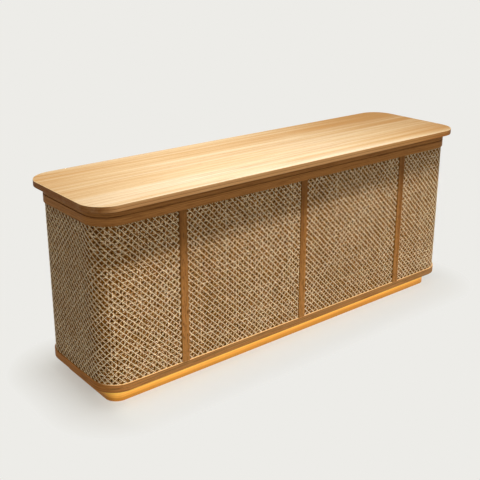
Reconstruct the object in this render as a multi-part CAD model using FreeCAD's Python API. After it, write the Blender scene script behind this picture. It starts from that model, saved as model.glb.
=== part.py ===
import FreeCAD, Part
import os

os.makedirs("parts", exist_ok=True)
Vector = FreeCAD.Vector

# All sizes are millimetres. X runs along the desk, -Y is the visitors' side, +Z is up.
# The origin is on the floor, under the middle of the counter.

# Counter top and the board that it is screwed to
counter_length = 2400.0
counter_depth = 650.0
counter_thickness = 30.0
counter_radius = 125.0
counter_edge_round = 2.5
counter_overhang = 30.0  # past the faces of the rails, all round
subtop_thickness = 30.0  # its edge is flush with the rails
subtop_edge_round = 1.5

# Frame of rails and stiles, rebated behind for the woven panels
body_radius = 125.0
rail_to_floor = 80.0
bottom_rail_height = 37.0
panel_opening_height = 749.0
top_rail_height = 37.0
shadow_gap_height = 5.0  # groove between the top rail and the sub-top
shadow_gap_depth = 8.0
stile_width = 40.0
end_panel_width = 430.0  # from the rail face at an end to the middle of the outer front stile
lip_depth = 6.0
rebate_width = 10.0
cane_thickness = 3.0
backing_thickness = 11.0
panel_clearance = 0.5
arris_round = 1.0

# Plinth, base board and the light under the bottom rail
plinth_inset = 60.0
plinth_thickness = 18.0
base_thickness = 18.0
light_recess = 12.0
light_width = 12.0
light_height = 8.0
light_to_rail = 2.0
driver_length = 160.0
driver_width = 50.0
driver_height = 28.0
driver_from_plinth = 40.0

# Carcass behind the panels
pedestal_opening = 445.0  # clear width of the drawers' and the cupboard's opening
carcass_thickness = 18.0
work_shelf_bay = 148.0  # clear height between the work shelf and the sub-top
work_shelf_thickness = 25.0
work_shelf_setback = 25.0
dado_depth = 8.0
cupboard_lower_height = 360.0  # clear under the cupboard shelf
cupboard_shelf_thickness = 18.0
cupboard_shelf_side_gap = 1.0
cupboard_shelf_setback = 8.0
shelf_pin_radius = 2.5
shelf_pin_reach = 9.0
shelf_pin_depth = 8.0
shelf_pin_inset = 75.0
shelf_pin_clearance = 0.1

# Screws that hold the counter down, driven up through the sub-top
screw_radius = 2.5
screw_length = 44.0
screw_head_radius = 5.0
screw_head_height = 3.0
screw_clearance = 0.2
screw_inset = 75.0  # from the inside of the frame, front and rear

# Drawers and their telescopic slides
top_drawer_height = 170.0
middle_drawer_height = 230.0  # the bottom drawer takes the rest of the opening
drawer_gap = 3.0
front_edge_round = 1.5
drawer_back_space = 50.0
drawer_board = 12.0
drawer_bottom_thickness = 8.0
drawer_bottom_rise = 10.0
box_above_front_edge = 15.0
box_below_front_top = 35.0
slide_space = 13.0
slide_setback = 2.0
slide_rise = 60.0  # middle of the slide above the bottom of the box
slide_height = 45.0
slide_plate = 1.5
slide_clearance = 0.4

# Pulls on the drawers and the door
pull_length = 160.0
pull_height = 10.0
pull_bar_depth = 8.0
pull_post = 10.0
pull_projection = 28.0
pull_corner_round = 5.0
drawer_pull_drop = 60.0
door_pull_inset = 40.0
door_pull_drop = 220.0
door_pull_turn = 90.0  # from level, as on the drawers, to upright

# Cupboard door and its butt hinges
door_gap = 2.5
hinge_standoff = 4.5  # pin centre outside the face of the door
hinge_knuckles = 3
hinge_knuckle_radius = 4.0
hinge_knuckle_length = 20.0
hinge_knuckle_gap = 0.3
hinge_leaf_gap = 0.1
hinge_pin_radius = 2.0
hinge_pin_clearance = 0.05
hinge_head_radius = 3.2
hinge_head_height = 1.5
hinge_end_distance = 110.0
catch_width = 12.0
catch_depth = 30.0
catch_height = 20.0
catch_clearance = 0.3

# Heights and outlines that follow from the sizes above
opening_low = rail_to_floor + bottom_rail_height
opening_high = opening_low + panel_opening_height
shadow_gap_low = opening_high + top_rail_height
subtop_low = shadow_gap_low + shadow_gap_height
counter_low = subtop_low + subtop_thickness
counter_top_z = counter_low + counter_thickness
base_low = rail_to_floor + light_recess
base_top = base_low + base_thickness
frame_depth = lip_depth + cane_thickness + backing_thickness
body_half_x = counter_length / 2 - counter_overhang
body_half_y = counter_depth / 2 - counter_overhang
inside_y = body_half_y - frame_depth
stile_half = stile_width / 2
web_half = stile_half - rebate_width
front_stile_x = body_half_x - end_panel_width
rear_stile_x = body_half_x - body_radius - stile_half
rear_opening_x = rear_stile_x - stile_half
partition_outer_x = rear_opening_x - pedestal_opening
kneehole_half = partition_outer_x - carcass_thickness
pedestal_middle_x = (rear_opening_x + partition_outer_x) / 2
top_rebate_z = opening_high + rebate_width
bottom_rebate_z = opening_low - rebate_width
rear_web_x = rear_stile_x + web_half
work_shelf_top = subtop_low - work_shelf_bay
cupboard_shelf_low = base_top + cupboard_lower_height
drawer_box_depth = 2 * inside_y - drawer_back_space

# Two places nearer than this are one, when edges are picked
tolerance = 0.001


def save(name, shape):
    shape.exportStep("parts/" + name + ".step")


def block(x_range, y_range, z_range):
    low = Vector(min(x_range), min(y_range), min(z_range))
    high = Vector(max(x_range), max(y_range), max(z_range))
    size = high - low
    return Part.makeBox(size.x, size.y, size.z, low)


def upright_cylinder(x, y, radius, z_range):
    height = max(z_range) - min(z_range)
    return Part.makeCylinder(radius, height, Vector(x, y, min(z_range)))


def middle_of(edge):
    return edge.valueAt((edge.FirstParameter + edge.LastParameter) / 2)


def ease(shape, radius, wanted):
    edges = [edge for edge in shape.Edges if wanted(edge)]
    return shape.makeFillet(radius, edges)


def level(edge, height):
    return all(abs(vertex.Z - height) < tolerance for vertex in edge.Vertexes)


def upright(edge):
    return abs(edge.tangentAt(edge.FirstParameter).z) > 1 - tolerance


def rounded_block(half_x, half_y, radius, z_range):
    board = block((-half_x, half_x), (-half_y, half_y), z_range)
    return ease(board, radius, upright)


# The desk's rounded outline, moved in from the rail faces by an inset
def body_block(inset, z_range):
    return rounded_block(body_half_x - inset, body_half_y - inset, body_radius - inset, z_range)


def ring(outer_inset, inner_inset, z_range):
    return body_block(outer_inset, z_range).cut(body_block(inner_inset, z_range))


# The part of the plan that one end takes, from a front line round to a line at the rear
def wrap_zone(side, front_x, rear_x):
    far = counter_length
    plan = [(far, -far), (front_x, -far), (front_x, 0), (rear_x, 0), (rear_x, far), (far, far), (far, -far)]
    outline = Part.makePolygon([Vector(side * x, y, -far) for x, y in plan])
    return Part.Face(outline).extrude(Vector(0, 0, 2 * far))


def run_zone(side, x_range):
    far = counter_length
    return block(x_range, (0, side * far), (-far, far))


# Counter top, with the pilot holes of its screws
def screw_places():
    row_y = inside_y - screw_inset
    for x in (-pedestal_middle_x, 0, pedestal_middle_x):
        for y in (-row_y, row_y):
            yield x, y


def screw_holes():
    hole_z = (subtop_low - screw_head_height, subtop_low + screw_length + screw_clearance)
    radius = screw_radius + screw_clearance
    return Part.makeCompound([upright_cylinder(x, y, radius, hole_z) for x, y in screw_places()])


def counter_top():
    board = rounded_block(counter_length / 2, counter_depth / 2, counter_radius, (counter_low, counter_top_z))
    eased = ease(board, counter_edge_round, lambda edge: level(edge, counter_low) or level(edge, counter_top_z))
    return eased.cut(screw_holes())


def subtop_board():
    board = body_block(0, (subtop_low, counter_low))
    eased = ease(board, subtop_edge_round, lambda edge: level(edge, subtop_low))
    return eased.cut(screw_holes())


def top_screws():
    screws = []
    for x, y in screw_places():
        shank = upright_cylinder(x, y, screw_radius, (subtop_low, subtop_low + screw_length))
        head = upright_cylinder(x, y, screw_head_radius, (subtop_low - screw_head_height, subtop_low))
        screws.append(shank.fuse(head).removeSplitter())
    return Part.makeCompound(screws)


save("counter_top", counter_top())
save("subtop_board", subtop_board())
save("top_screws", top_screws())


# Rails: solid along the staff side, rebated where they hold a panel, one bent piece round each end
def on_rail_face(edge):
    point = middle_of(edge)
    corner_x = max(abs(point.x) - (body_half_x - body_radius), 0)
    corner_y = max(abs(point.y) - (body_half_y - body_radius), 0)
    return abs((corner_x ** 2 + corner_y ** 2) ** 0.5 - body_radius) < tolerance


def rail_loop(z_range, lip_range, inner_edge):
    web = ring(0, frame_depth, z_range)
    lip = ring(0, lip_depth, lip_range)
    loop = web.fuse(lip).removeSplitter()
    return ease(loop, arris_round, lambda edge: level(edge, inner_edge) and on_rail_face(edge))


def save_loop(name, front_and_ends, rear):
    front_joint = front_stile_x
    save(name + "_front", front_and_ends.common(run_zone(-1, (-front_joint, front_joint))))
    save(name + "_left", front_and_ends.common(wrap_zone(-1, front_joint, rear_opening_x)))
    save(name + "_right", front_and_ends.common(wrap_zone(1, front_joint, rear_opening_x)))
    save(name + "_rear", rear.common(run_zone(1, (-rear_opening_x, rear_opening_x))))


shadow_gap = ring(0, shadow_gap_depth, (shadow_gap_low, subtop_low))
top_rail = rail_loop((top_rebate_z, subtop_low), (opening_high, top_rebate_z), opening_high).cut(shadow_gap)
top_rail_rear = ring(0, frame_depth, (opening_high, subtop_low)).cut(shadow_gap)
bottom_rail = rail_loop((rail_to_floor, bottom_rebate_z), (bottom_rebate_z, opening_low), opening_low)
bottom_rail_rear = ring(0, frame_depth, (rail_to_floor, opening_low))
save_loop("top_rail", top_rail, top_rail_rear)
save_loop("bottom_rail", bottom_rail, bottom_rail_rear)
plinth = ring(plinth_inset, plinth_inset + plinth_thickness, (0, base_low))
save_loop("plinth", plinth, plinth)


# Stiles: a face plate between the rails and a web that laps into their rebates
def stile(face_x, web_x, side):
    face_y = side * body_half_y
    lip_y = side * (body_half_y - lip_depth)
    back_y = side * inside_y
    plate = block(face_x, (face_y, lip_y), (opening_low, opening_high))
    web = block(web_x, (lip_y, back_y), (bottom_rebate_z, top_rebate_z))

    def front_arris(edge):
        return upright(edge) and abs(middle_of(edge).y - face_y) < tolerance

    return ease(plate.fuse(web).removeSplitter(), arris_round, front_arris)


for name, x in (("left", -front_stile_x), ("centre", 0), ("right", front_stile_x)):
    save("stile_" + name, stile((x - stile_half, x + stile_half), (x - web_half, x + web_half), -1))
for name, side in (("left", -1), ("right", 1)):
    inner_x = side * rear_opening_x
    save("rear_stile_" + name, stile((inner_x, side * (rear_stile_x + stile_half)), (inner_x, side * rear_web_x), 1))


# Woven cane, and the backing board that it lies on, in the rebates of the frame
def panel_ring(outer_inset, thickness):
    z_range = (bottom_rebate_z + panel_clearance, top_rebate_z - panel_clearance)
    return ring(outer_inset, outer_inset + thickness, z_range)


def save_panels(name, loop):
    web_edge = web_half + panel_clearance
    left_edge = front_stile_x - web_edge
    wrap = (front_stile_x + web_edge, rear_web_x + panel_clearance)
    save(name + "_left", loop.common(wrap_zone(-1, *wrap)))
    save(name + "_centre_left", loop.common(run_zone(-1, (-left_edge, -web_edge))))
    save(name + "_centre_right", loop.common(run_zone(-1, (web_edge, left_edge))))
    save(name + "_right", loop.common(wrap_zone(1, *wrap)))


save_panels("cane", panel_ring(lip_depth, cane_thickness))
save_panels("backing", panel_ring(lip_depth + cane_thickness, backing_thickness))


# Base board inside the bottom rail, and the light stuck under it behind the straight of the front rail
def light_strip():
    half = body_half_x - body_radius
    near_y = -(inside_y - light_to_rail)
    return block((-half, half), (near_y, near_y + light_width), (base_low - light_height, base_low))


def light_driver():
    near_y = -(body_half_y - plinth_inset - plinth_thickness - driver_from_plinth)
    half = driver_length / 2
    return block((-half, half), (near_y, near_y + driver_width), (base_low - driver_height, base_low))


save("base_board", body_block(frame_depth, (base_low, base_top)))
save("light_strip", light_strip())
save("light_driver", light_driver())


# Carcass: partitions notched round the staff-side rails, pedestal sides and shelves
def shelf_pin_places():
    row_y = inside_y - shelf_pin_inset
    for side_x, inward in ((partition_outer_x, 1), (rear_opening_x, -1)):
        for y in (-row_y, row_y):
            yield side_x, inward, y


def shelf_pin(side_x, inward, y, radius, reach, depth):
    start = Vector(side_x - inward * depth, y, cupboard_shelf_low - shelf_pin_radius)
    return Part.makeCylinder(radius, reach + depth, start, Vector(inward, 0, 0))


def shelf_pin_holes():
    radius = shelf_pin_radius + shelf_pin_clearance
    depth = shelf_pin_depth + shelf_pin_clearance
    return Part.makeCompound([shelf_pin(*place, radius, 0, depth) for place in shelf_pin_places()])


work_shelf_y = (-inside_y, body_half_y - work_shelf_setback)
work_shelf_z = (work_shelf_top - work_shelf_thickness, work_shelf_top)
dado_x = kneehole_half + dado_depth


def partition(side):
    x_range = (side * kneehole_half, side * partition_outer_x)
    board = block(x_range, (-inside_y, inside_y), (base_top, subtop_low))
    nose = block(x_range, (inside_y, body_half_y), (opening_low, opening_high))
    dado = block((side * kneehole_half, side * dado_x), work_shelf_y, work_shelf_z)
    return board.fuse(nose).removeSplitter().cut(dado)


def pedestal_side(side):
    x_range = (side * rear_opening_x, side * (rear_opening_x + carcass_thickness))
    return block(x_range, (-inside_y, inside_y), (base_top, subtop_low))


def cupboard_shelf():
    x_range = (partition_outer_x + cupboard_shelf_side_gap, rear_opening_x - cupboard_shelf_side_gap)
    z_range = (cupboard_shelf_low, cupboard_shelf_low + cupboard_shelf_thickness)
    return block(x_range, (-inside_y, inside_y - cupboard_shelf_setback), z_range)


save("partition_left", partition(-1))
save("partition_right", partition(1).cut(shelf_pin_holes()))
save("pedestal_side_left", pedestal_side(-1))
save("pedestal_side_right", pedestal_side(1).cut(shelf_pin_holes()))
save("work_shelf", block((-dado_x, dado_x), work_shelf_y, work_shelf_z))
save("cupboard_shelf", cupboard_shelf())
pins = [shelf_pin(*place, shelf_pin_radius, shelf_pin_reach, shelf_pin_depth) for place in shelf_pin_places()]
save("shelf_pins", Part.makeCompound(pins))


# Drawer fronts and the door share one flush front and one bar pull
def inset_front(x_range, z_range):
    board = block(x_range, (inside_y, body_half_y), z_range)

    def on_face(edge):
        return all(abs(vertex.Y - body_half_y) < tolerance for vertex in edge.Vertexes)

    return ease(board, front_edge_round, on_face)


def bar_pull(x, z):
    ends_x = (x - pull_length / 2, x + pull_length / 2)
    z_range = (z - pull_height / 2, z + pull_height / 2)
    outer_y = body_half_y + pull_projection
    bar = block(ends_x, (outer_y - pull_bar_depth, outer_y), z_range)
    left_post = block((ends_x[0], ends_x[0] + pull_post), (body_half_y, outer_y), z_range)
    right_post = block((ends_x[1] - pull_post, ends_x[1]), (body_half_y, outer_y), z_range)
    pull = bar.fuse([left_post, right_post]).removeSplitter()

    def outer_corner(edge):
        point = middle_of(edge)
        return abs(point.z - z) < tolerance and abs(point.y - outer_y) < tolerance

    return ease(pull, pull_corner_round, outer_corner)


# One member of a slide: a channel standing on a wall, open towards the drawer or towards the wall
def slide_channel(wall_x, inward, web_at, lip_at, half_height, z):
    end_y = inside_y - slide_setback
    y_range = (end_y - drawer_box_depth, end_y)
    web_end = web_at + slide_plate if lip_at > web_at else web_at - slide_plate
    web_x = (wall_x + inward * web_at, wall_x + inward * web_end)
    lip_x = (wall_x + inward * web_at, wall_x + inward * lip_at)
    web = block(web_x, y_range, (z - half_height, z + half_height))
    top = block(lip_x, y_range, (z + half_height - slide_plate, z + half_height))
    bottom = block(lip_x, y_range, (z - half_height, z - half_height + slide_plate))
    return web.fuse([top, bottom]).removeSplitter()


def slide_members(z):
    step = slide_plate + slide_clearance
    outer = slide_height / 2
    lip_end = slide_space - step
    walls = ((-rear_opening_x, 1), (-partition_outer_x, -1))
    cabinet = [slide_channel(wall, inward, 0, lip_end, outer, z) for wall, inward in walls]
    middle = [slide_channel(wall, inward, step, lip_end, outer - step, z) for wall, inward in walls]
    drawer = [slide_channel(wall, inward, slide_space, 2 * step, outer - 2 * step, z) for wall, inward in walls]
    return cabinet, middle, drawer


def drawer_box(x_range, z_range):
    left, right = x_range
    low, high = z_range
    back_y = inside_y - drawer_box_depth
    inner_x = (left + drawer_board, right - drawer_board)
    floor_z = low + drawer_bottom_rise
    left_side = block((left, inner_x[0]), (back_y, inside_y), z_range)
    right_side = block((inner_x[1], right), (back_y, inside_y), z_range)
    back = block(inner_x, (back_y, back_y + drawer_board), z_range)
    bottom = block(inner_x, (back_y + drawer_board, inside_y), (floor_z, floor_z + drawer_bottom_thickness))
    return Part.makeCompound([left_side, right_side, back, bottom])


def drawer_front_ranges():
    top = opening_high - drawer_gap
    for height in (top_drawer_height, middle_drawer_height):
        yield top - height, top
        top = top - height - drawer_gap
    yield opening_low + drawer_gap, top


drawer_opening = (-rear_opening_x, -partition_outer_x)
front_x = (drawer_opening[0] + drawer_gap, drawer_opening[1] - drawer_gap)
box_x = (drawer_opening[0] + slide_space, drawer_opening[1] - slide_space)
cabinet_slides = []
for name, (front_low, front_high) in zip(("top", "middle", "bottom"), drawer_front_ranges()):
    box_low = front_low + box_above_front_edge
    cabinet, middle, inner = slide_members(box_low + slide_rise)
    cabinet_slides += cabinet
    save(name + "_drawer_front", inset_front(front_x, (front_low, front_high)))
    save(name + "_drawer_box", drawer_box(box_x, (box_low, front_high - box_below_front_top)))
    save(name + "_drawer_pull", bar_pull(-pedestal_middle_x, front_high - drawer_pull_drop))
    save(name + "_drawer_inner_slides", Part.makeCompound(inner))
    save(name + "_drawer_middle_slides", Part.makeCompound(middle))
save("cabinet_slides", Part.makeCompound(cabinet_slides))


# Cupboard door, hung on the rear stile
door_x = (partition_outer_x + door_gap, rear_opening_x - door_gap)
door_z = (opening_low + door_gap, opening_high - door_gap)
hinge_x = rear_opening_x - door_gap / 2
hinge_y = body_half_y + hinge_standoff
hinge_pitch = hinge_knuckle_length + hinge_knuckle_gap
hinge_half = (hinge_knuckles * hinge_pitch - hinge_knuckle_gap) / 2
hinge_heights = (door_z[0] + hinge_end_distance, door_z[1] - hinge_end_distance)


# Knuckles of one hinge from the bottom up: frame, door, frame
def knuckle_ranges(z):
    lows = [z - hinge_half + index * hinge_pitch for index in range(hinge_knuckles)]
    return [(low, low + hinge_knuckle_length) for low in lows]


# A leaf with its own knuckles, cut clear of the knuckles of the other leaf
def hinge_leaf(z, leaf_x, own, others):
    leaf = block(leaf_x, (inside_y, hinge_y), (z - hinge_half, z + hinge_half))
    for low, high in others:
        clear_z = (low - hinge_knuckle_gap, high + hinge_knuckle_gap)
        clear_radius = hinge_knuckle_radius + hinge_knuckle_gap
        leaf = leaf.cut(upright_cylinder(hinge_x, hinge_y, clear_radius, clear_z))
    knuckles = [upright_cylinder(hinge_x, hinge_y, hinge_knuckle_radius, z_range) for z_range in own]
    bore_radius = hinge_pin_radius + hinge_pin_clearance
    bore = upright_cylinder(hinge_x, hinge_y, bore_radius, (z - hinge_half, z + hinge_half))
    return leaf.fuse(knuckles).removeSplitter().cut(bore)


def hinge_pin(z):
    shank = upright_cylinder(hinge_x, hinge_y, hinge_pin_radius, (z - hinge_half, z + hinge_half))
    head_z = (z + hinge_half, z + hinge_half + hinge_head_height)
    return shank.fuse(upright_cylinder(hinge_x, hinge_y, hinge_head_radius, head_z)).removeSplitter()


frame_leaves = []
door_leaves = []
for z in hinge_heights:
    lower, centre, upper = knuckle_ranges(z)
    frame_leaves.append(hinge_leaf(z, (hinge_x + hinge_leaf_gap / 2, rear_opening_x), [lower, upper], [centre]))
    door_leaves.append(hinge_leaf(z, (hinge_x - hinge_leaf_gap / 2, door_x[1]), [centre], [lower, upper]))
save("hinge_frame_leaves", Part.makeCompound(frame_leaves))
save("hinge_door_leaves", Part.makeCompound(door_leaves))
save("hinge_pins", Part.makeCompound([hinge_pin(z) for z in hinge_heights]))


# Magnetic catch on the partition, just behind the free edge of the closed door
def door_catch():
    face_y = inside_y - catch_clearance
    x_range = (partition_outer_x, partition_outer_x + catch_width)
    return block(x_range, (face_y - catch_depth, face_y), (door_z[1] - catch_height, door_z[1]))


save("door_catch", door_catch())
save("door", inset_front(door_x, door_z))
door_pull_x = door_x[0] + door_pull_inset
door_pull_z = door_z[1] - door_pull_drop
door_pull = bar_pull(door_pull_x, door_pull_z)
door_pull.rotate(Vector(door_pull_x, 0, door_pull_z), Vector(0, 1, 0), door_pull_turn)
save("door_pull", door_pull)
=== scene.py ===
import math

import bpy
import numpy as np
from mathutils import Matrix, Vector


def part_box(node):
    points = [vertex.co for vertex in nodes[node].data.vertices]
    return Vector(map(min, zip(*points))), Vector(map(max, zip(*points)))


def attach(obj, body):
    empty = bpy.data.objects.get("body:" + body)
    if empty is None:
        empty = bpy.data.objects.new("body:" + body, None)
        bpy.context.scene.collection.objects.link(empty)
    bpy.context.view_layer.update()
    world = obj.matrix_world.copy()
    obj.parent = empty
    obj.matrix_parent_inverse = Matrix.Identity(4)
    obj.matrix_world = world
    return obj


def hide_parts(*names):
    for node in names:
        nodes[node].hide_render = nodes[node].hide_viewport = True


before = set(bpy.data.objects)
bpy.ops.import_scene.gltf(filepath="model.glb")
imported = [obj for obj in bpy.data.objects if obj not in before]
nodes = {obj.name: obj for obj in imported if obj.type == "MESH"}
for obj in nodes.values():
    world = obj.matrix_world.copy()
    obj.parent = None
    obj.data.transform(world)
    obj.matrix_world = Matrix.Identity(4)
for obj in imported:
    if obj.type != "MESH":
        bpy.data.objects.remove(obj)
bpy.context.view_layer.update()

scene = bpy.context.scene
scene.view_settings.view_transform = "Standard"

# plan of the desk, read from its rails
plan = {
    "halfX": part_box("bottom_rail_right")[1].x,
    "halfY": -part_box("bottom_rail_front")[0].y,
    "radius": 0.125,          # of the rails' outer corners
    "turnFrom": 0.7,          # how far along the front the grain starts to turn towards the ends
}
print("frame loaded:", len(nodes), "solids")


# shader building blocks; a tint is a colour as picked on a screen, turned to the linear one a shader takes
def tint(rgb):
    linear = [c / 255 / 12.92 if c < 11 else ((c / 255 + 0.055) / 1.055) ** 2.4 for c in rgb]
    return (*linear, 1.0)


def newFinish(name):
    finish = bpy.data.materials.new(name)
    finish.use_nodes = True
    tree = finish.node_tree
    return finish, tree, tree.nodes["Principled BSDF"]


def addNode(tree, kind, inputs, **options):
    made = tree.nodes.new("ShaderNode" + kind)
    for option, value in options.items():
        setattr(made, option, value)
    for socket, value in inputs.items():
        if isinstance(value, bpy.types.NodeSocket):
            tree.links.new(value, made.inputs[socket])
        else:
            made.inputs[socket].default_value = value
    return made


def calc(tree, operation, first, second=0.0):
    return addNode(tree, "Math", {0: first, 1: second}, operation=operation).outputs[0]


def remap(tree, value, low, high, newLow, newHigh):
    inputs = {"Value": value, "From Min": low, "From Max": high, "To Min": newLow, "To Max": newHigh}
    return addNode(tree, "MapRange", inputs).outputs[0]


def blendTints(tree, factor, first, second, blendType="MIX"):
    made = addNode(tree, "Mix", {0: factor, 6: first, 7: second}, data_type="RGBA", blend_type=blendType)
    return made.outputs[2]


def toneRamp(tree, factor, stops):
    made = addNode(tree, "ValToRGB", {0: factor})
    elements = made.color_ramp.elements
    while len(elements) < len(stops):
        elements.new(0.5)
    for element, (position, rgb) in zip(elements, stops):
        element.position = position
        element.color = tint(rgb)
    return made.outputs[0]


def twoTones(tree, factor, span, dark, pale):
    return toneRamp(tree, factor, list(zip(span, (dark, pale))))


def combine(tree, x, y, z):
    return addNode(tree, "CombineXYZ", {0: x, 1: y, 2: z}).outputs[0]


# a place with its own scale along each axis
def stretched(tree, values, scales):
    return combine(tree, *[calc(tree, "MULTIPLY", value, scale) for value, scale in zip(values, scales)])


def noise(tree, vector, detail=2.0, roughness=0.5, scale=1.0):
    inputs = {"Vector": vector, "Scale": scale, "Detail": detail, "Roughness": roughness}
    return addNode(tree, "TexNoise", inputs).outputs[0]


def place(tree):
    spot = addNode(tree, "TexCoord", {}).outputs["Object"]
    return addNode(tree, "SeparateXYZ", {0: spot}).outputs


def clouds(tree, scale, detail):
    spot = addNode(tree, "TexCoord", {}).outputs["Object"]
    return noise(tree, spot, detail, scale=scale)


# how far a face looks along an axis
def facing(tree, axis, normal="Normal"):
    heading = addNode(tree, "NewGeometry", {}).outputs[normal]
    return addNode(tree, "SeparateXYZ", {0: heading}).outputs[axis]


def bumped(tree, shader, height, depth):
    bump = addNode(tree, "Bump", {"Height": height, "Strength": 1.0, "Distance": depth})
    tree.links.new(bump.outputs[0], shader.inputs["Normal"])


# how rough a surface is, from smooth to matt over the span of a pattern
def glossed(tree, shader, pattern, look):
    gloss = remap(tree, pattern, *look["glossSpan"], *look["gloss"])
    tree.links.new(gloss, shader.inputs["Roughness"])


# distance in from the face of the rails, all round the plan
def insetFromRails(tree, x, y):
    overs = []
    for value, half in ((x, plan["halfX"]), (y, plan["halfY"])):
        past = calc(tree, "SUBTRACT", calc(tree, "ABSOLUTE", value), half - plan["radius"])
        overs.append(calc(tree, "MAXIMUM", past))
    reach = addNode(tree, "VectorMath", {0: combine(tree, *overs, 0.0)}, operation="LENGTH")
    return calc(tree, "SUBTRACT", plan["radius"], reach.outputs["Value"])


# along, across and into the board, in metres; "loop" follows a rail bent round the ends
def grainPlace(tree, run):
    spot = place(tree)
    x, y, z = spot["X"], spot["Y"], spot["Z"]
    if run == "loop":
        turn = remap(tree, x, -plan["turnFrom"], plan["turnFrom"], -1.0, 1.0)
        along = calc(tree, "ADD", x, calc(tree, "MULTIPLY", turn, y))
        return along, z, insetFromRails(tree, x, y)
    return {"x": (x, y, z), "z": (z, x, y)}[run]


# the edge of the counter takes a stain, deeper in the end grain, which also stands for painted shade on the
# ends, shows its layers, and has a painted highlight along the arris; endGrain is by how far a face looks to
# the side, edgeSpan, arrisSpan and flat by how far it looks up
counterEdgeStainAndLight = {
    "stain": (224, 192, 156), "endStainAndShade": (158, 130, 104), "endGrain": (0.10, 0.65),
    "layer": 0.0075, "seam": (104, 62, 28), "seamSpan": (0.75, 0.95), "seamDepth": 0.55,
    "pale": (255, 230, 186), "edgeSpan": (0.45, 0.35), "arrisSpan": (0.45, 0.55), "flat": 0.97,
}


def counterEdge(tree, colour):
    upward = facing(tree, "Z")
    height = place(tree)["Z"]
    sideways = calc(tree, "ABSOLUTE", facing(tree, "X"))
    # faces looking to the side take a deeper stain: end-grain stain, and painted shade of the ends
    endGrain = remap(tree, sideways, *counterEdgeStainAndLight["endGrain"], 0.0, 1.0)
    stain = blendTints(tree, endGrain, tint(counterEdgeStainAndLight["stain"]), tint(counterEdgeStainAndLight["endStainAndShade"]))
    stained = blendTints(tree, 1.0, colour, stain, "MULTIPLY")
    layers = calc(tree, "PINGPONG", calc(tree, "DIVIDE", height, counterEdgeStainAndLight["layer"]), 1.0)
    seams = remap(tree, layers, *counterEdgeStainAndLight["seamSpan"], 0.0, counterEdgeStainAndLight["seamDepth"])
    stained = blendTints(tree, seams, stained, tint(counterEdgeStainAndLight["seam"]))
    onEdge = remap(tree, upward, *counterEdgeStainAndLight["edgeSpan"], 0.0, 1.0)
    colour = blendTints(tree, onEdge, colour, stained)
    # painted highlight: the arris is painted pale, where light catches it
    paintedHighlight = remap(tree, upward, *counterEdgeStainAndLight["arrisSpan"], 0.0, 1.0)
    paintedHighlight = calc(tree, "MULTIPLY", paintedHighlight, calc(tree, "LESS_THAN", upward, counterEdgeStainAndLight["flat"]))
    return blendTints(tree, paintedHighlight, colour, tint(counterEdgeStainAndLight["pale"]))


# the ledge of the bottom rail gets a painted highlight, pale along the visitors' side, where light catches it
railLedgeHighlight = {
    "pale": (244, 208, 152), "reach": 0.008, "above": 0.11, "upward": 0.5,
    "fadesOver": (-0.27, -0.22),      # from front to back, where the painted highlight ends
}


def railLedge(tree, colour):
    spot = place(tree)
    inset = insetFromRails(tree, spot["X"], spot["Y"])
    onLedge = [
        calc(tree, "GREATER_THAN", facing(tree, "Z"), railLedgeHighlight["upward"]),
        calc(tree, "GREATER_THAN", spot["Z"], railLedgeHighlight["above"]),
        remap(tree, spot["Y"], *railLedgeHighlight["fadesOver"], 1.0, 0.0),
    ]
    # painted highlight: the ledge is painted pale, where light catches it
    paintedHighlight = calc(tree, "LESS_THAN", inset, railLedgeHighlight["reach"])
    for share in onLedge:
        paintedHighlight = calc(tree, "MULTIPLY", paintedHighlight, share)
    return blendTints(tree, paintedHighlight, colour, tint(railLedgeHighlight["pale"]))


# how all the oak is figured: scales per metre along and across the grain, the ends of the desk where a board
# takes painted light or shade, and the spans of the noise that show
oakFigure = {
    "wanderScales": (0.9, 4.0), "bandsAlong": 0.45, "poreScales": (28.0, 1500.0),
    "ringTilt": 0.6, "ringSway": 4.0, "lateWood": (0.45, 0.97),
    "nearEnd": (-0.6, -1.2), "farEnd": (0.3, 1.2), "toneStops": (0.28, 0.46, 0.64),
    "fibreSpan": (0.3, 0.7), "poreSpan": (0.60, 0.72), "fibreRelief": 0.35,
}


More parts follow.
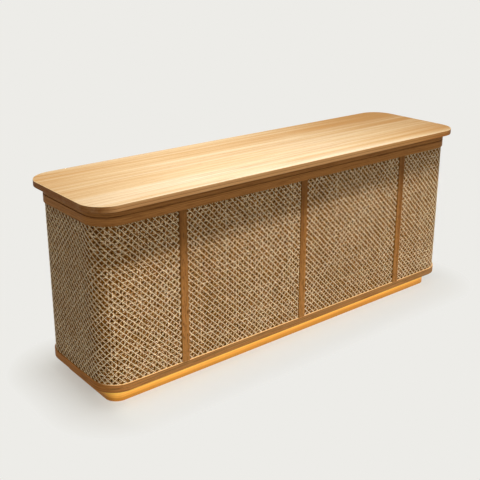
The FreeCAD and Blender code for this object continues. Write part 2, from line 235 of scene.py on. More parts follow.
# oak, cut from a board that runs along x, z or the loop of the rails
def oakFinish(name, look, run, marksAndHighlight=None):
    finish, tree, shader = newFinish(name)
    along, across, depth = grainPlace(tree, run)

    def grain(scales, side=across, detail=3.0, roughness=0.5):
        alongScale, acrossScale = scales
        spot = stretched(tree, (along, side, depth), (alongScale, acrossScale, acrossScale))
        return noise(tree, spot, detail, roughness)

    sway = calc(tree, "SUBTRACT", grain(oakFigure["wanderScales"], detail=2.0), 0.5)
    side = calc(tree, "ADD", across, calc(tree, "MULTIPLY", sway, look["wander"]))
    bands = grain((oakFigure["bandsAlong"], look["bands"]), side, roughness=0.55)
    fibres = grain(look["fibreScales"], side, roughness=0.65)
    pores = grain(oakFigure["poreScales"], side, detail=1.0)

    # growth rings: a slow rise in tone, then a sharp fall at the late wood
    inward = calc(tree, "MULTIPLY", depth, look["rings"] * oakFigure["ringTilt"])
    ringCount = calc(tree, "ADD", calc(tree, "MULTIPLY", side, look["rings"]), inward)
    ringCount = calc(tree, "ADD", ringCount, calc(tree, "MULTIPLY", bands, oakFigure["ringSway"]))
    lateWood = remap(tree, calc(tree, "FRACT", ringCount), *oakFigure["lateWood"], 0.0, 1.0)

    # painted light and shade: a board is painted paler or darker across its width and towards its ends, where
    # light falls on it or shade lies
    fade = calc(tree, "MULTIPLY", calc(tree, "SUBTRACT", across, look["fadeMiddle"]), look["fade"])
    for end, drop in zip(("nearEnd", "farEnd"), look["endDrops"]):
        fade = calc(tree, "SUBTRACT", fade, remap(tree, along, *oakFigure[end], 0.0, drop))
    dark, mid, pale = oakFigure["toneStops"]
    tone = calc(tree, "MULTIPLY", calc(tree, "SUBTRACT", bands, mid), look["contrast"])
    tone = calc(tree, "ADD", calc(tree, "ADD", tone, mid), fade)
    colour = toneRamp(tree, tone, [(dark, look["dark"]), (mid, look["mid"]), (pale, look["pale"])])

    shade = calc(tree, "MULTIPLY", lateWood, look["ringDepth"])
    colour = blendTints(tree, shade, colour, tint(look["ring"]))
    fibreTone = remap(tree, fibres, *oakFigure["fibreSpan"], -1.0, 1.0)
    fibreDark = calc(tree, "MAXIMUM", calc(tree, "MULTIPLY", fibreTone, look["fibre"]))
    colour = blendTints(tree, fibreDark, colour, tint(look["ring"]))
    poreMask = remap(tree, pores, *oakFigure["poreSpan"], 0.0, look["poreDepth"])
    colour = blendTints(tree, poreMask, colour, tint(look["pore"]))
    # the counter's edge stain with its painted highlight, or the bottom rail's painted ledge highlight
    if marksAndHighlight:
        colour = marksAndHighlight(tree, colour)
    tree.links.new(colour, shader.inputs["Base Color"])

    glossed(tree, shader, fibres, look)
    shader.inputs["Specular IOR Level"].default_value = look["sheen"]
    relief = calc(tree, "SUBTRACT", calc(tree, "MULTIPLY", fibres, oakFigure["fibreRelief"]), poreMask)
    bumped(tree, shader, relief, look["relief"])
    return finish


# counter: pale oiled oak, grain along the desk; painted paler towards the front and darker towards both ends,
# most at the right: painted light and shade
counterLook = {
    "pale": (249, 236, 214), "mid": (235, 208, 165), "dark": (210, 161, 98),
    "ring": (200, 148, 88), "pore": (146, 96, 46),
    "wander": 0.045, "bands": 26.0, "contrast": 0.54, "rings": 26.0, "ringDepth": 0.35,
    "fade": -0.26, "fadeMiddle": 0.0, "endDrops": (0.07, 0.16),
    "fibre": 0.36, "fibreScales": (3.0, 150.0), "poreDepth": 0.35,
    "glossSpan": (0.25, 0.75), "gloss": (0.44, 0.58), "sheen": 0.05, "relief": 0.0004,
}
# frame: the same oak, stained a nut brown; the bottom rail is a little greyer, and painted paler and warmer
# round the near end, as painted light on that end
frameLook = {
    "pale": (185, 134, 81), "mid": (168, 120, 70), "dark": (143, 99, 54),
    "ring": (112, 74, 39), "pore": (72, 43, 20),
    "wander": 0.016, "bands": 42.0, "contrast": 0.7, "rings": 120.0, "ringDepth": 0.40,
    "fade": 0.0, "fadeMiddle": 0.0, "endDrops": (0.0, 0.0),
    "fibre": 0.85, "fibreScales": (8.0, 170.0), "poreDepth": 0.45,
    "glossSpan": (0.25, 0.75), "gloss": (0.42, 0.58), "sheen": 0.04, "relief": 0.0004,
}
# stiles: painted shade, darker towards the top, where the counter shades them
stileLook = dict(
    frameLook, pale=(178, 130, 77), mid=(161, 115, 65), dark=(127, 87, 47), ring=(106, 72, 40),
    endDrops=(0.0, 0.35), fibre=1.1, fibreScales=(34.0, 150.0),
)
lowRailLook = dict(
    frameLook, pale=(178, 122, 66), mid=(155, 116, 74), dark=(132, 98, 60), ring=(101, 71, 41),
    endDrops=(-0.25, 0.0), contrast=0.5,
)
# plinth: honey oak, painted bright, palest at the top and darker at both ends: a painted glow of the light
# strip
plinthLook = {
    "pale": (255, 208, 103), "mid": (240, 178, 77), "dark": (196, 132, 47),
    "ring": (188, 124, 43), "pore": (150, 94, 36),
    "wander": 0.016, "bands": 30.0, "contrast": 0.7, "rings": 80.0, "ringDepth": 0.25,
    "fade": 11.0, "fadeMiddle": 0.020, "endDrops": (0.14, 0.08),
    "fibre": 0.25, "fibreScales": (7.0, 420.0), "poreDepth": 0.30,
    "glossSpan": (0.25, 0.75), "gloss": (0.40, 0.55), "sheen": 0.25, "relief": 0.0003,
}
# carcass, drawer fronts and door: oak veneer a shade lighter than the frame
carcassLook = {
    "pale": (224, 174, 112), "mid": (208, 156, 95), "dark": (186, 133, 76),
    "ring": (160, 108, 58), "pore": (110, 70, 36),
    "wander": 0.030, "bands": 18.0, "contrast": 0.7, "rings": 60.0, "ringDepth": 0.35,
    "fade": 0.0, "fadeMiddle": 0.0, "endDrops": (0.0, 0.0),
    "fibre": 0.26, "fibreScales": (7.0, 420.0), "poreDepth": 0.35,
    "glossSpan": (0.25, 0.75), "gloss": (0.40, 0.56), "sheen": 0.25, "relief": 0.0003,
}


# dark stained board behind the cane, plain veneer on the side inside the desk
backingLook = {
    "stain": (138, 91, 46), "stainDark": (34, 21, 9), "blotch": 130.0,
    "stainSpan": (0.4, 0.6), "stainDepth": 0.012, "stainEdge": 0.001,
    "veneer": (206, 158, 100), "veneerDark": (178, 128, 74), "streaks": (90.0, 90.0, 3.0),
    "veneerSpan": (0.3, 0.7),
    "glossSpan": (0.2, 0.8), "gloss": (0.55, 0.75), "sheen": 0.02, "relief": 0.0002,
}


def backingFinish():
    finish, tree, shader = newFinish("backingBoard")
    spot = place(tree)
    inset = insetFromRails(tree, spot["X"], spot["Y"])
    stainEnd = backingLook["stainDepth"]
    inside = remap(tree, inset, stainEnd, stainEnd + backingLook["stainEdge"], 0.0, 1.0)
    grain = noise(tree, stretched(tree, spot, backingLook["streaks"]), detail=4.0, roughness=0.6)
    blotches = noise(tree, stretched(tree, spot, [backingLook["blotch"]] * 3), detail=2.0, roughness=0.6)
    stain = twoTones(tree, blotches, backingLook["stainSpan"], backingLook["stainDark"], backingLook["stain"])
    veneerTones = backingLook["veneerDark"], backingLook["veneer"]
    veneer = twoTones(tree, grain, backingLook["veneerSpan"], *veneerTones)
    tree.links.new(blendTints(tree, inside, stain, veneer), shader.inputs["Base Color"])
    glossed(tree, shader, grain, backingLook)
    shader.inputs["Specular IOR Level"].default_value = backingLook["sheen"]
    bumped(tree, shader, grain, backingLook["relief"])
    return finish


# drawer boxes: birch ply, with the plies showing on the top edges
birchLook = {
    "pale": (235, 208, 164), "dark": (216, 182, 132), "toneSpan": (0.3, 0.65), "streaks": (26.0, 2.2, 26.0),
    "ply": (176, 134, 86), "plyPitch": 0.0030, "plySpan": (0.35, 0.65), "plyDepth": 0.75, "board": 0.012,
    "upward": 0.9,            # a face that looks up more than this is a top edge
    "glossSpan": (0.2, 0.8), "gloss": (0.42, 0.60), "relief": 0.0002,
}


def birchFinish():
    finish, tree, shader = newFinish("birchPly")
    spot = place(tree)
    low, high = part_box("top_drawer_box")
    middle, inner = (low.x + high.x) / 2, (high.x - low.x) / 2 - birchLook["board"]
    grain = noise(tree, stretched(tree, spot, birchLook["streaks"]), detail=4.0, roughness=0.6)
    face = twoTones(tree, grain, birchLook["toneSpan"], birchLook["dark"], birchLook["pale"])

    # the plies run with each board, so the sides count them from the middle of the box
    fromMiddle = calc(tree, "ABSOLUTE", calc(tree, "SUBTRACT", spot["X"], middle))
    onSide = calc(tree, "GREATER_THAN", fromMiddle, inner)
    through = addNode(tree, "Mix", {0: onSide, 2: spot["Y"], 3: fromMiddle}, data_type="FLOAT").outputs[0]
    plies = calc(tree, "PINGPONG", calc(tree, "DIVIDE", through, birchLook["plyPitch"]), 1.0)
    plies = remap(tree, plies, *birchLook["plySpan"], 0.0, birchLook["plyDepth"])
    onTop = calc(tree, "GREATER_THAN", facing(tree, "Z", "True Normal"), birchLook["upward"])
    atTop = calc(tree, "MULTIPLY", onTop, plies)
    tree.links.new(blendTints(tree, atTop, face, tint(birchLook["ply"])), shader.inputs["Base Color"])
    glossed(tree, shader, grain, birchLook)
    bumped(tree, shader, grain, birchLook["relief"])
    return finish


# metals: brushed along the bar for the pulls, plated for the slides
metalLook = {"patina": 38.0, "toneSpan": (0.35, 0.6), "glossSpan": (0.25, 0.75), "relief": 0.00006}
brassLook = dict(metalLook, bright=(214, 172, 100), dull=(186, 142, 76), gloss=(0.20, 0.36))
steelLook = dict(metalLook, bright=(196, 199, 202), dull=(164, 167, 170), gloss=(0.26, 0.46))
brushing = {
    "alongX": (30.0, 2600.0, 2600.0),
    "alongZ": (2600.0, 2600.0, 30.0),
    "rolled": (400.0, 8.0, 400.0),
}


def metalFinish(name, look, brushScales):
    finish, tree, shader = newFinish(name)
    spot = place(tree)
    brushed = noise(tree, stretched(tree, spot, brushScales), detail=3.0, roughness=0.6)
    patina = noise(tree, stretched(tree, spot, [look["patina"]] * 3), detail=3.0, roughness=0.6)
    colour = twoTones(tree, patina, look["toneSpan"], look["dull"], look["bright"])
    tree.links.new(colour, shader.inputs["Base Color"])
    shader.inputs["Metallic"].default_value = 1.0
    glossed(tree, shader, brushed, look)
    bumped(tree, shader, brushed, look["relief"])
    return finish


# driver and catch: moulded pale plastic with a fine texture
plasticLook = {
    "light": (232, 231, 228), "dark": (216, 215, 211), "toneSpan": (0.35, 0.65), "cloud": 30.0,
    "grain": 900.0, "glossSpan": (0.3, 0.7), "gloss": (0.42, 0.58), "relief": 0.0001,
}


def plasticFinish():
    finish, tree, shader = newFinish("mouldedPlastic")
    grain = clouds(tree, plasticLook["grain"], detail=2.0)
    cloud = clouds(tree, plasticLook["cloud"], detail=3.0)
    colour = twoTones(tree, cloud, plasticLook["toneSpan"], plasticLook["dark"], plasticLook["light"])
    tree.links.new(colour, shader.inputs["Base Color"])
    glossed(tree, shader, grain, plasticLook)
    bumped(tree, shader, grain, plasticLook["relief"])
    return finish


# warm light strip: a milky sleeve, lit on the side of the plinth and a little brighter over each diode
lightLook = {
    "sleeve": (250, 244, 232), "haze": (238, 230, 214), "hazeSpan": (0.35, 0.65), "cloud": 60.0,
    "glossSpan": (0.3, 0.7), "gloss": (0.42, 0.58),
    "glow": (255, 240, 210), "between": (255, 232, 196),
    "strength": 3.1, "ripple": 0.15, "diodePitch": 0.0125,
    "inward": 0.5,            # a face that looks towards the plinth more than this is lit
}


def lightFinish():
    finish, tree, shader = newFinish("lightSleeve")
    spot = place(tree)
    run = calc(tree, "DIVIDE", calc(tree, "ADD", spot["X"], spot["Y"]), lightLook["diodePitch"])
    wave = calc(tree, "PINGPONG", run, 1.0)
    glow = twoTones(tree, wave, (0.0, 1.0), lightLook["between"], lightLook["glow"])
    tree.links.new(glow, shader.inputs["Emission Color"])
    dim, bright = [lightLook["strength"] * (1 + sign * lightLook["ripple"]) for sign in (-1, 1)]
    strength = remap(tree, wave, 0.0, 1.0, dim, bright)
    towardsPlinth = calc(tree, "GREATER_THAN", facing(tree, "Y", "True Normal"), lightLook["inward"])
    tree.links.new(calc(tree, "MULTIPLY", strength, towardsPlinth), shader.inputs["Emission Strength"])
    cloud = clouds(tree, lightLook["cloud"], detail=3.0)
    milky = twoTones(tree, cloud, lightLook["hazeSpan"], lightLook["haze"], lightLook["sleeve"])
    tree.links.new(milky, shader.inputs["Base Color"])
    glossed(tree, shader, cloud, lightLook)
    return finish


# cane: split rattan, darker along its edges and in patches
caneLook = {
    "pale": (255, 249, 224), "tan": (185, 136, 64), "brown": (92, 55, 16), "edge": (86, 52, 17),
    "streakScales": (45.0, 4.0), "streakSpan": (0.52, 0.75), "streakDepth": 0.35,
    "edgeFrom": 0.62, "edgeDepth": 0.75,
    "patch": 190.0, "patchSpan": (0.40, 0.60), "patchDepth": 0.56,
    "evenTones": (0.75, 0.95), "evenLeft": 0.12,     # the palest strands keep little of their patches
    "apart": 57.0,                                   # keeps two strands from sharing a pattern
    "glossSpan": (0.3, 0.7), "gloss": (0.38, 0.54), "sheen": 0.05, "relief": 0.00015,
}


def caneFinish():
    finish, tree, shader = newFinish("splitCane")
    strand = addNode(tree, "Attribute", {}, attribute_name="strand").outputs["Vector"]
    along, across, tone = addNode(tree, "SeparateXYZ", {0: strand}).outputs

    def pattern(alongScale, acrossScale, detail):
        spot = stretched(tree, (along, across, tone), (alongScale, acrossScale, caneLook["apart"]))
        return noise(tree, spot, detail, roughness=0.6)

    streaks = pattern(*caneLook["streakScales"], detail=3.0)
    depth = caneLook["patchDepth"]
    patches = remap(tree, pattern(caneLook["patch"], 0.0, detail=2.0), *caneLook["patchSpan"], -depth, depth)
    steady = remap(tree, tone, *caneLook["evenTones"], 1.0, caneLook["evenLeft"])
    shade = calc(tree, "ADD", tone, calc(tree, "MULTIPLY", patches, steady))
    stops = [(0.0, caneLook["brown"]), (0.5, caneLook["tan"]), (1.0, caneLook["pale"])]
    colour = toneRamp(tree, shade, stops)
    streakMask = remap(tree, streaks, *caneLook["streakSpan"], 0.0, caneLook["streakDepth"])
    colour = blendTints(tree, calc(tree, "MULTIPLY", streakMask, steady), colour, tint(caneLook["brown"]))
    fromMiddle = calc(tree, "ABSOLUTE", across)
    edge = remap(tree, fromMiddle, caneLook["edgeFrom"], 1.0, 0.0, caneLook["edgeDepth"])
    colour = blendTints(tree, calc(tree, "MULTIPLY", edge, steady), colour, tint(caneLook["edge"]))
    tree.links.new(colour, shader.inputs["Base Color"])
    glossed(tree, shader, streaks, caneLook)
    shader.inputs["Specular IOR Level"].default_value = caneLook["sheen"]
    bumped(tree, shader, streaks, caneLook["relief"])
    return finish


finishes = {
    "counter": oakFinish("counterOak", counterLook, "x", counterEdge),
    "rail": oakFinish("railOak", frameLook, "loop"),
    "lowRail": oakFinish("lowRailOak", lowRailLook, "loop", railLedge),
    "stile": oakFinish("stileOak", stileLook, "z"),
    "plinth": oakFinish("plinthOak", plinthLook, "loop"),
    "upright": oakFinish("uprightVeneer", carcassLook, "z"),
    "shelf": oakFinish("shelfVeneer", carcassLook, "x"),
    "backing": backingFinish(),
    "birch": birchFinish(),
    "brass": metalFinish("brushedBrass", brassLook, brushing["alongX"]),
    "brassUpright": metalFinish("brushedBrassUpright", brassLook, brushing["alongZ"]),
    "steel": metalFinish("platedSteel", steelLook, brushing["rolled"]),
    "plastic": plasticFinish(),
    "light": lightFinish(),
    "cane": caneFinish(),
}
print("finishes made:", len(finishes))


# which finish each solid takes, by how its name starts
dressing = {
    "counter_top": "counter", "subtop_board": "rail", "top_rail": "rail", "bottom_rail": "lowRail",
    "bottom_rail_rear": "rail",
    "plinth": "plinth", "stile": "stile", "rear_stile": "stile", "backing": "backing",
    "base_board": "shelf", "work_shelf": "shelf", "cupboard_shelf": "shelf",
    "partition": "upright", "pedestal_side": "upright", "door": "upright",
    "light_strip": "light", "light_driver": "plastic", "door_catch": "plastic",
    "top_screws": "steel", "shelf_pins": "steel", "cabinet_slides": "steel",
    "hinge": "brassUpright", "door_pull": "brassUpright", "cane": "cane",
}
for drawer in ("top", "middle", "bottom"):
    dressing[drawer + "_drawer_front"] = "upright"
    dressing[drawer + "_drawer_box"] = "birch"
    dressing[drawer + "_drawer_pull"] = "brass"
    dressing[drawer + "_drawer_inner_slides"] = "steel"
    dressing[drawer + "_drawer_middle_slides"] = "steel"

for name, solid in nodes.items():
    starts = [start for start in dressing if name.startswith(start)]
    finish = finishes[dressing[max(starts, key=len)]]
    solid.data.materials.clear()
    solid.data.materials.append(finish)
print("solids dressed:", len(nodes))


# woven cane: pairs of levels and uprights, and a diagonal each way through their crossings
weave = {
    "pitch": 0.0305,          # from one pair to the next
    "pairGap": 0.0128,        # between the two strands of a pair
    "widths": {"level": 0.0049, "upright": 0.0049, "rising": 0.0023, "falling": 0.0022},
    "thickness": 0.0008,
    "layers": (0.00010, 0.00100, 0.00205),   # undersides of the three layers, above the backing
    # painted light and shade over the cane's own tan: strands lower in the weave are painted darker, the
    # falling diagonals on top the palest
    "tones": {"level": 0.34, "upright": 0.38, "rising": 0.84, "falling": 1.0},
    "toneSpread": {"level": 0.25, "upright": 0.25, "rising": 0.20, "falling": 0.08},
    "toneLean": (-1.0, 0.5),  # shares of the spread: a strand may be darker by more than it may be paler
    "wobble": 0.0007,         # how far a strand strays to the side between two crossings
    "rebate": 0.010,          # how far a panel runs in behind the frame
    "clearance": 0.0005,
    "near": 0.001,            # a stop this close to a line counts as on it
    "leastLength": 3.0,       # a diagonal shorter than this many widths is left out at a corner
    "seed": 7,
}
pitch, halfGap = weave["pitch"], weave["pairGap"] / 2
lowLayer, midLayer, topLayer = weave["layers"]
caneLow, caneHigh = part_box("cane_centre_left")
caneInset = plan["halfY"] + caneHigh.y          # of the backing's face, in from the rails

# stretches of the loop, from the middle of the front: front, front corner, end, rear corner
frontFlat = plan["halfX"] - plan["radius"]
endFlat = 2 * (plan["halfY"] - plan["radius"])
bend = plan["radius"] - caneInset
loopMarks = np.cumsum([frontFlat, bend * math.pi / 2, endFlat, bend * math.pi / 2])

# section of a strand: across as a share of its half width, up as a share of its thickness
strandSection = np.array([(-1.0, 0.0), (1.0, 0.0), (0.62, 0.78), (0.0, 1.0), (-0.62, 0.78)])
sides = len(strandSection)

# each strand has its own row of the map: where it starts, how much of the row it fills, and its end dots
strandMap = {
    "start": 0.01, "length": 0.98, "low": 0.06, "high": 0.94,
    "dots": (0.004, 0.996), "dotWidth": 0.002, "dotHeight": 0.3,
}


# a place on the face of the backing, by its run round the loop, its height and how far it stands off
def onLoop(run, height, standOff):
    half = np.abs(run)
    reach = bend + standOff
    turn = (np.clip(half, loopMarks[0], loopMarks[1]) - loopMarks[0]) / bend
    turn = turn + (np.clip(half, loopMarks[2], loopMarks[3]) - loopMarks[2]) / bend
    x = np.minimum(half, frontFlat) - np.maximum(half - loopMarks[3], 0) + reach * np.sin(turn)
    y = np.clip(half, loopMarks[1], loopMarks[2]) - loopMarks[1] - endFlat / 2 - reach * np.cos(turn)
    return np.stack([np.sign(run) * x, y, height + 0 * x], axis=-1)


# one closed ribbon for each strand, all in one mesh
def strandMesh(name, strands):
    points, marks, quads, caps, strips, capStrips = [], [], [], [], [], []
    steps = [np.hypot(np.diff(strand["runs"]), np.diff(strand["heights"])) for strand in strands]
    travels = [np.append(0.0, np.cumsum(step)) for step in steps]
    longest = max(travel[-1] for travel in travels)
    around = np.linspace(strandMap["low"], strandMap["high"], sides + 1)
    dot = np.exp(2j * math.pi * np.arange(sides) / sides)
    count = 0
    for index, (strand, travel) in enumerate(zip(strands, travels)):
        columns = [strand[key][:, None] for key in ("runs", "heights", "lifts", "strays")]
        runs, heights, lifts, strays = columns
        heading = np.array([runs[-1, 0] - runs[0, 0], heights[-1, 0] - heights[0, 0]])
        heading = heading / np.linalg.norm(heading)
        out = strandSection[:, 0] * strand["width"] / 2 + strays
        up = strandSection[:, 1] * weave["thickness"]
        points.append(onLoop(runs - heading[1] * out, heights + heading[0] * out, lifts + up).reshape(-1, 3))
        rows = len(travel)
        mark = np.empty((rows, sides, 3))
        mark[..., 0], mark[..., 1], mark[..., 2] = travel[:, None], strandSection[:, 0], strand["tone"]
        marks.append(mark.reshape(-1, 3))

        here = count + np.arange(rows - 1)[:, None] * sides + np.arange(sides)
        beside = count + np.arange(rows - 1)[:, None] * sides + (np.arange(sides) + 1) % sides
        quads.append(np.stack([here, beside, beside + sides, here + sides], axis=-1).reshape(-1, 4))
        caps.append(count + np.arange(sides)[::-1])
        caps.append(count + (rows - 1) * sides + np.arange(sides))
        count += rows * sides

        # laid out flat on its row of the map, with the two ends as dots beside it
        u = strandMap["start"] + strandMap["length"] * travel / longest
        v = (index + around) / len(strands)
        strip = np.empty((rows - 1, sides, 4, 2))
        strip[:, :, :2, 0], strip[:, :, 2:, 0] = u[:-1, None, None], u[1:, None, None]
        strip[:, :, 0, 1], strip[:, :, 3, 1] = v[:-1], v[:-1]
        strip[:, :, 1, 1], strip[:, :, 2, 1] = v[1:], v[1:]
        strips.append(strip.reshape(-1, 2))
        for middle in strandMap["dots"]:
            dotU = middle + strandMap["dotWidth"] * dot.real
            dotV = (index + 0.5 + strandMap["dotHeight"] * dot.imag) / len(strands)
            capStrips.append(np.stack((dotU, dotV), axis=-1))

    quads, caps = np.concatenate(quads), np.stack(caps)
    mesh = bpy.data.meshes.new(name)
    mesh.vertices.add(count)
    mesh.vertices.foreach_set("co", np.concatenate(points).astype(np.float32).ravel())
    corners = np.append(quads.ravel(), caps.ravel())
    mesh.loops.add(len(corners))
    mesh.loops.foreach_set("vertex_index", corners.astype(np.int32))
    sizes = np.append(np.full(len(quads), 4), np.full(len(caps), sides))
    mesh.polygons.add(len(sizes))
    mesh.polygons.foreach_set("loop_start", np.append(0, np.cumsum(sizes)[:-1]).astype(np.int32))
    mesh.polygons.foreach_set("use_smooth", sizes == 4)
    mesh.update(calc_edges=True)
    mark = mesh.attributes.new("strand", "FLOAT_VECTOR", "POINT")
    mark.data.foreach_set("vector", np.concatenate(marks).astype(np.float32).ravel())
    laid = mesh.uv_layers.new(name="OFBake")
    laid.data.foreach_set("uv", np.concatenate(strips + capStrips).astype(np.float32).ravel())
    mesh.validate()
    mesh.materials.append(finishes["cane"])
    return mesh


# where a strand may change layer: at both lines of each pair, between them, and half way to the next pair
def weaveStops(low, high):
    middles = np.arange(math.floor(low / pitch) - 1, math.ceil(high / pitch) + 2) * pitch
    stops = np.concatenate([middles - halfGap, middles, middles + halfGap, middles + pitch / 2])
    inside = np.sort(stops[(stops > low + weave["near"]) & (stops < high - weave["near"])])
    return np.concatenate([[low], inside, [high]])


# the lines of all pairs in a stretch, with the hand of each in its pair
def pairLines(low, high):
    for middle in range(math.floor(low / pitch) - 1, math.ceil(high / pitch) + 2):
        for hand in (-1, 1):
            line = middle * pitch + hand * halfGap
            if low + weave["widths"]["level"] < line < high - weave["widths"]["level"]:
                yield line, hand


# lift at each stop: one where the crossing line has the same hand, the other where it has not
def pairLifts(stops, hand, same, other):
    offset = stops - np.round(stops / pitch) * pitch
    crossing = np.where(np.abs(np.abs(offset) - halfGap) < weave["near"], np.sign(offset) * hand, 0)
    return np.select([crossing > 0, crossing < 0], [same, other], (same + other) / 2)


# a diagonal rides over the pairs and may dip half way between them, where the other one crosses
def diagonalLifts(stops, dip):
    fromHalf = np.abs(stops - np.round(stops / (pitch / 2)) * (pitch / 2))
    return np.where(fromHalf < weave["near"], dip, topLayer)


def weavePanel(node, runLow, runHigh):
    random = np.random.default_rng(weave["seed"])
    zLow, zHigh = caneLow.z, caneHigh.z

    def strand(kind, runs, heights, lifts):
        tone = weave["tones"][kind] + weave["toneSpread"][kind] * random.uniform(*weave["toneLean"])
        strays = weave["wobble"] * random.uniform(-1.0, 1.0, len(runs))
        return {
            "runs": runs, "heights": heights, "lifts": lifts, "strays": strays,
            "width": weave["widths"][kind], "tone": tone,
        }

    pairs, diagonals = [], []
    for line, hand in pairLines(zLow, zHigh):
        stops = weaveStops(runLow, runHigh)
        lifts = pairLifts(stops, hand, lowLayer, midLayer)
        pairs.append(strand("level", stops, np.full_like(stops, line), lifts))
    for line, hand in pairLines(runLow, runHigh):
        stops = weaveStops(zLow, zHigh)
        lifts = pairLifts(stops, hand, midLayer, lowLayer)
        pairs.append(strand("upright", np.full_like(stops, line), stops, lifts))

    # diagonals lie over the pairs, and the rising ones dip under the falling ones
    for kind, slope, dip in (("rising", 1, midLayer), ("falling", -1, topLayer)):
        bases = sorted(z - slope * run for z in (zLow, zHigh) for run in (runLow, runHigh))
        for step in range(math.ceil(bases[0] / pitch), math.floor(bases[-1] / pitch) + 1):
            ends = sorted(((zLow - step * pitch) * slope, (zHigh - step * pitch) * slope))
            start, stop = max(runLow, ends[0]), min(runHigh, ends[1])
            width = weave["widths"][kind]
            if stop - start > weave["leastLength"] * width:
                stops = weaveStops(start + width, stop - width)
                heights = step * pitch + slope * stops
                diagonals.append(strand(kind, stops, heights, diagonalLifts(stops, dip)))

    for kind, strands in (("pairs", pairs), ("diagonals", diagonals)):
        name = node + "_" + kind
        piece = bpy.data.objects.new(name, strandMesh(name, strands))
        scene.collection.objects.link(piece)
        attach(piece, "desk")
        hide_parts(node)
        print(name, len(strands), "strands,", len(piece.data.polygons), "faces")


# the two end panels run from the front stile round to the rear stile
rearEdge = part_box("rear_stile_right")[1].x - weave["rebate"] + weave["clearance"]
rearRun = loopMarks[3] + frontFlat - rearEdge
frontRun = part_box("cane_right")[0].x
weavePanel("cane_left", -rearRun, -frontRun)
weavePanel("cane_centre_left", caneLow.x, caneHigh.x)
weavePanel("cane_centre_right", -caneHigh.x, -caneLow.x)
weavePanel("cane_right", frontRun, rearRun)
print("cane woven")


# camera where the photograph was taken from, for a square picture
cameraLook = {
    "lens": 60.26, "sensor": 36.0, "shiftY": -0.0823,
    "place": (-2.66361, -3.06962, 1.99609), "azimuth": -39.0, "elevation": 17.86,
}


def addCamera():
    data = bpy.data.cameras.new("camera")
    data.lens = cameraLook["lens"]
    data.sensor_width = cameraLook["sensor"]
    data.shift_y = cameraLook["shiftY"]
    camera = bpy.data.objects.new("camera", data)
    camera.location = cameraLook["place"]
    tilt = 90 - cameraLook["elevation"]
    camera.rotation_euler = (math.radians(tilt), 0.0, math.radians(cameraLook["azimuth"]))
    scene.collection.objects.link(camera)
    scene.camera = camera


# a strip lamp over the front edge, a key from the visitors' side, a low lamp whose narrow beam leaves the top
# of the panels in shade, a soft box overhead, one behind and one on the staff side; turn rolls a lamp about
# its beam
lamps = {
    "stripLamp": {
        "place": (-0.05, -0.41, 1.45), "aim": (-0.05, -0.41, 0.90), "width": 2.20, "depth": 0.05,
        "power": 2.5, "spread": 180.0, "turn": 0.0, "tint": (255, 252, 246),
    },
    "keyLamp": {
        "place": (-0.30, -1.45, 3.40), "aim": (-0.30, -0.30, 0.90), "width": 1.80, "depth": 0.40,
        "power": 6.0, "spread": 180.0, "turn": 0.0, "tint": (255, 252, 246),
    },
    "lowLamp": {
        "place": (0.02, -2.80, 1.52), "aim": (0.02, -0.29, 0.33), "width": 2.30, "depth": 0.67,
        "power": 2.91, "spread": 3.0, "turn": 1.7, "tint": (255, 243, 226),
    },
    "overLamp": {
        "place": (-0.35, 0.24, 2.10), "aim": (-0.35, 0.24, 0.97), "width": 1.00, "depth": 0.30,
        "power": 6.6, "spread": 180.0, "turn": 0.0, "tint": (255, 253, 250),
    },
    "backLamp": {
        "place": (1.30, 2.50, 1.50), "aim": (-0.40, 0.0, 0.80), "width": 1.60, "depth": 1.00,
        "power": 2.0, "spread": 180.0, "turn": 0.0, "tint": (255, 250, 242),
    },
    "staffLamp": {
        "place": (0.40, 2.60, 0.70), "aim": (0.0, 0.30, 0.50), "width": 1.80, "depth": 0.40,
        "power": 12.0, "spread": 180.0, "turn": 0.0, "tint": (255, 248, 238),
    },
}
# even light all round, stronger from the visitors' side
ambientLook = {"tint": (255, 241, 220), "strong": 1.00, "weak": 0.37, "from": (0.0, -1.0, 0.0)}


def addLamp(name, look):
    data = bpy.data.lights.new(name, "AREA")
    data.shape = "RECTANGLE"
    data.size, data.size_y = look["width"], look["depth"]
    data.energy = look["power"]
    data.spread = math.radians(look["spread"])
    data.color = tint(look["tint"])[:3]
    lamp = bpy.data.objects.new(name, data)
    lamp.location = look["place"]
    aim = Vector(look["aim"]) - Vector(look["place"])
    lamp.rotation_euler = aim.to_track_quat("-Z", "Y").to_euler()
    lamp.rotation_euler.rotate_axis("Z", math.radians(look["turn"]))
    lamp.visible_camera = False
    scene.collection.objects.link(lamp)


# pale floor and backdrop: what the camera and shiny surfaces see is paler than what lights the desk
floorLook = {
    "colour": (238, 247, 255), "bounce": (150, 149, 147), "backdrop": (237, 236, 232),
    "reach": 0.24, "leastLeft": 0.40, "leastRight": 0.58, "ends": (-1.2, 1.2), "halfSize": 60.0,
}


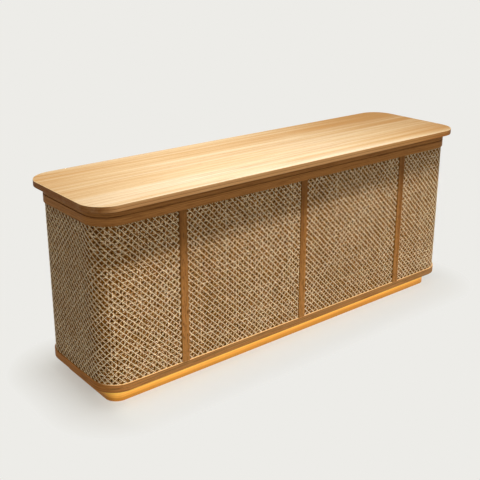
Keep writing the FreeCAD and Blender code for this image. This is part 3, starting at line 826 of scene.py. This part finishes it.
def seenDirectly(tree):
    path = addNode(tree, "LightPath", {}).outputs
    mirrored = calc(tree, "MAXIMUM", path["Is Glossy Ray"], path["Is Transmission Ray"])
    return calc(tree, "MAXIMUM", path["Is Camera Ray"], mirrored)


def addFloor():
    half = floorLook["halfSize"]
    mesh = bpy.data.meshes.new("floor")
    corners = [(x * half, y * half, 0) for x, y in ((-1, -1), (1, -1), (1, 1), (-1, 1))]
    mesh.from_pydata(corners, [], [(0, 1, 2, 3)])
    floor = bpy.data.objects.new("floor", mesh)
    scene.collection.objects.link(floor)
    finish, tree, shader = newFinish("paleFloor")
    tree.nodes.remove(shader)
    seen = seenDirectly(tree)
    colour = blendTints(tree, seen, tint(floorLook["bounce"]), tint(floorLook["colour"]))
    matt = addNode(tree, "BsdfDiffuse", {"Color": colour}).outputs[0]
    glow = addNode(tree, "Emission", {"Color": tint(floorLook["backdrop"]), "Strength": 1.0}).outputs[0]

    # the shade of the desk stays on the floor close to it, deeper towards the left end
    spot = place(tree)
    inset = insetFromRails(tree, spot["X"], spot["Y"])
    least = remap(tree, spot["X"], *floorLook["ends"], floorLook["leastLeft"], floorLook["leastRight"])
    fade = remap(tree, inset, 0.0, -floorLook["reach"], least, 1.0)
    fade = calc(tree, "MULTIPLY", fade, seen)
    both = addNode(tree, "MixShader", {0: fade, 1: matt, 2: glow}).outputs[0]
    tree.links.new(both, tree.nodes["Material Output"].inputs["Surface"])
    mesh.materials.append(finish)


def addWorld():
    world = bpy.data.worlds.new("studio")
    world.use_nodes = True
    scene.world = world
    tree = world.node_tree
    background = tree.nodes["Background"]
    seen = seenDirectly(tree)
    heading = addNode(tree, "TexCoord", {}).outputs["Generated"]
    towards = addNode(tree, "VectorMath", {0: heading, 1: ambientLook["from"]}, operation="DOT_PRODUCT")
    strength = remap(tree, towards.outputs["Value"], -1.0, 1.0, ambientLook["weak"], ambientLook["strong"])
    ambient = blendTints(tree, strength, (0.0, 0.0, 0.0, 1.0), tint(ambientLook["tint"]))
    tree.links.new(blendTints(tree, seen, ambient, tint(floorLook["backdrop"])), background.inputs["Color"])


addCamera()
for name, look in lamps.items():
    addLamp(name, look)
addFloor()
addWorld()
print("camera, lamps and floor set")
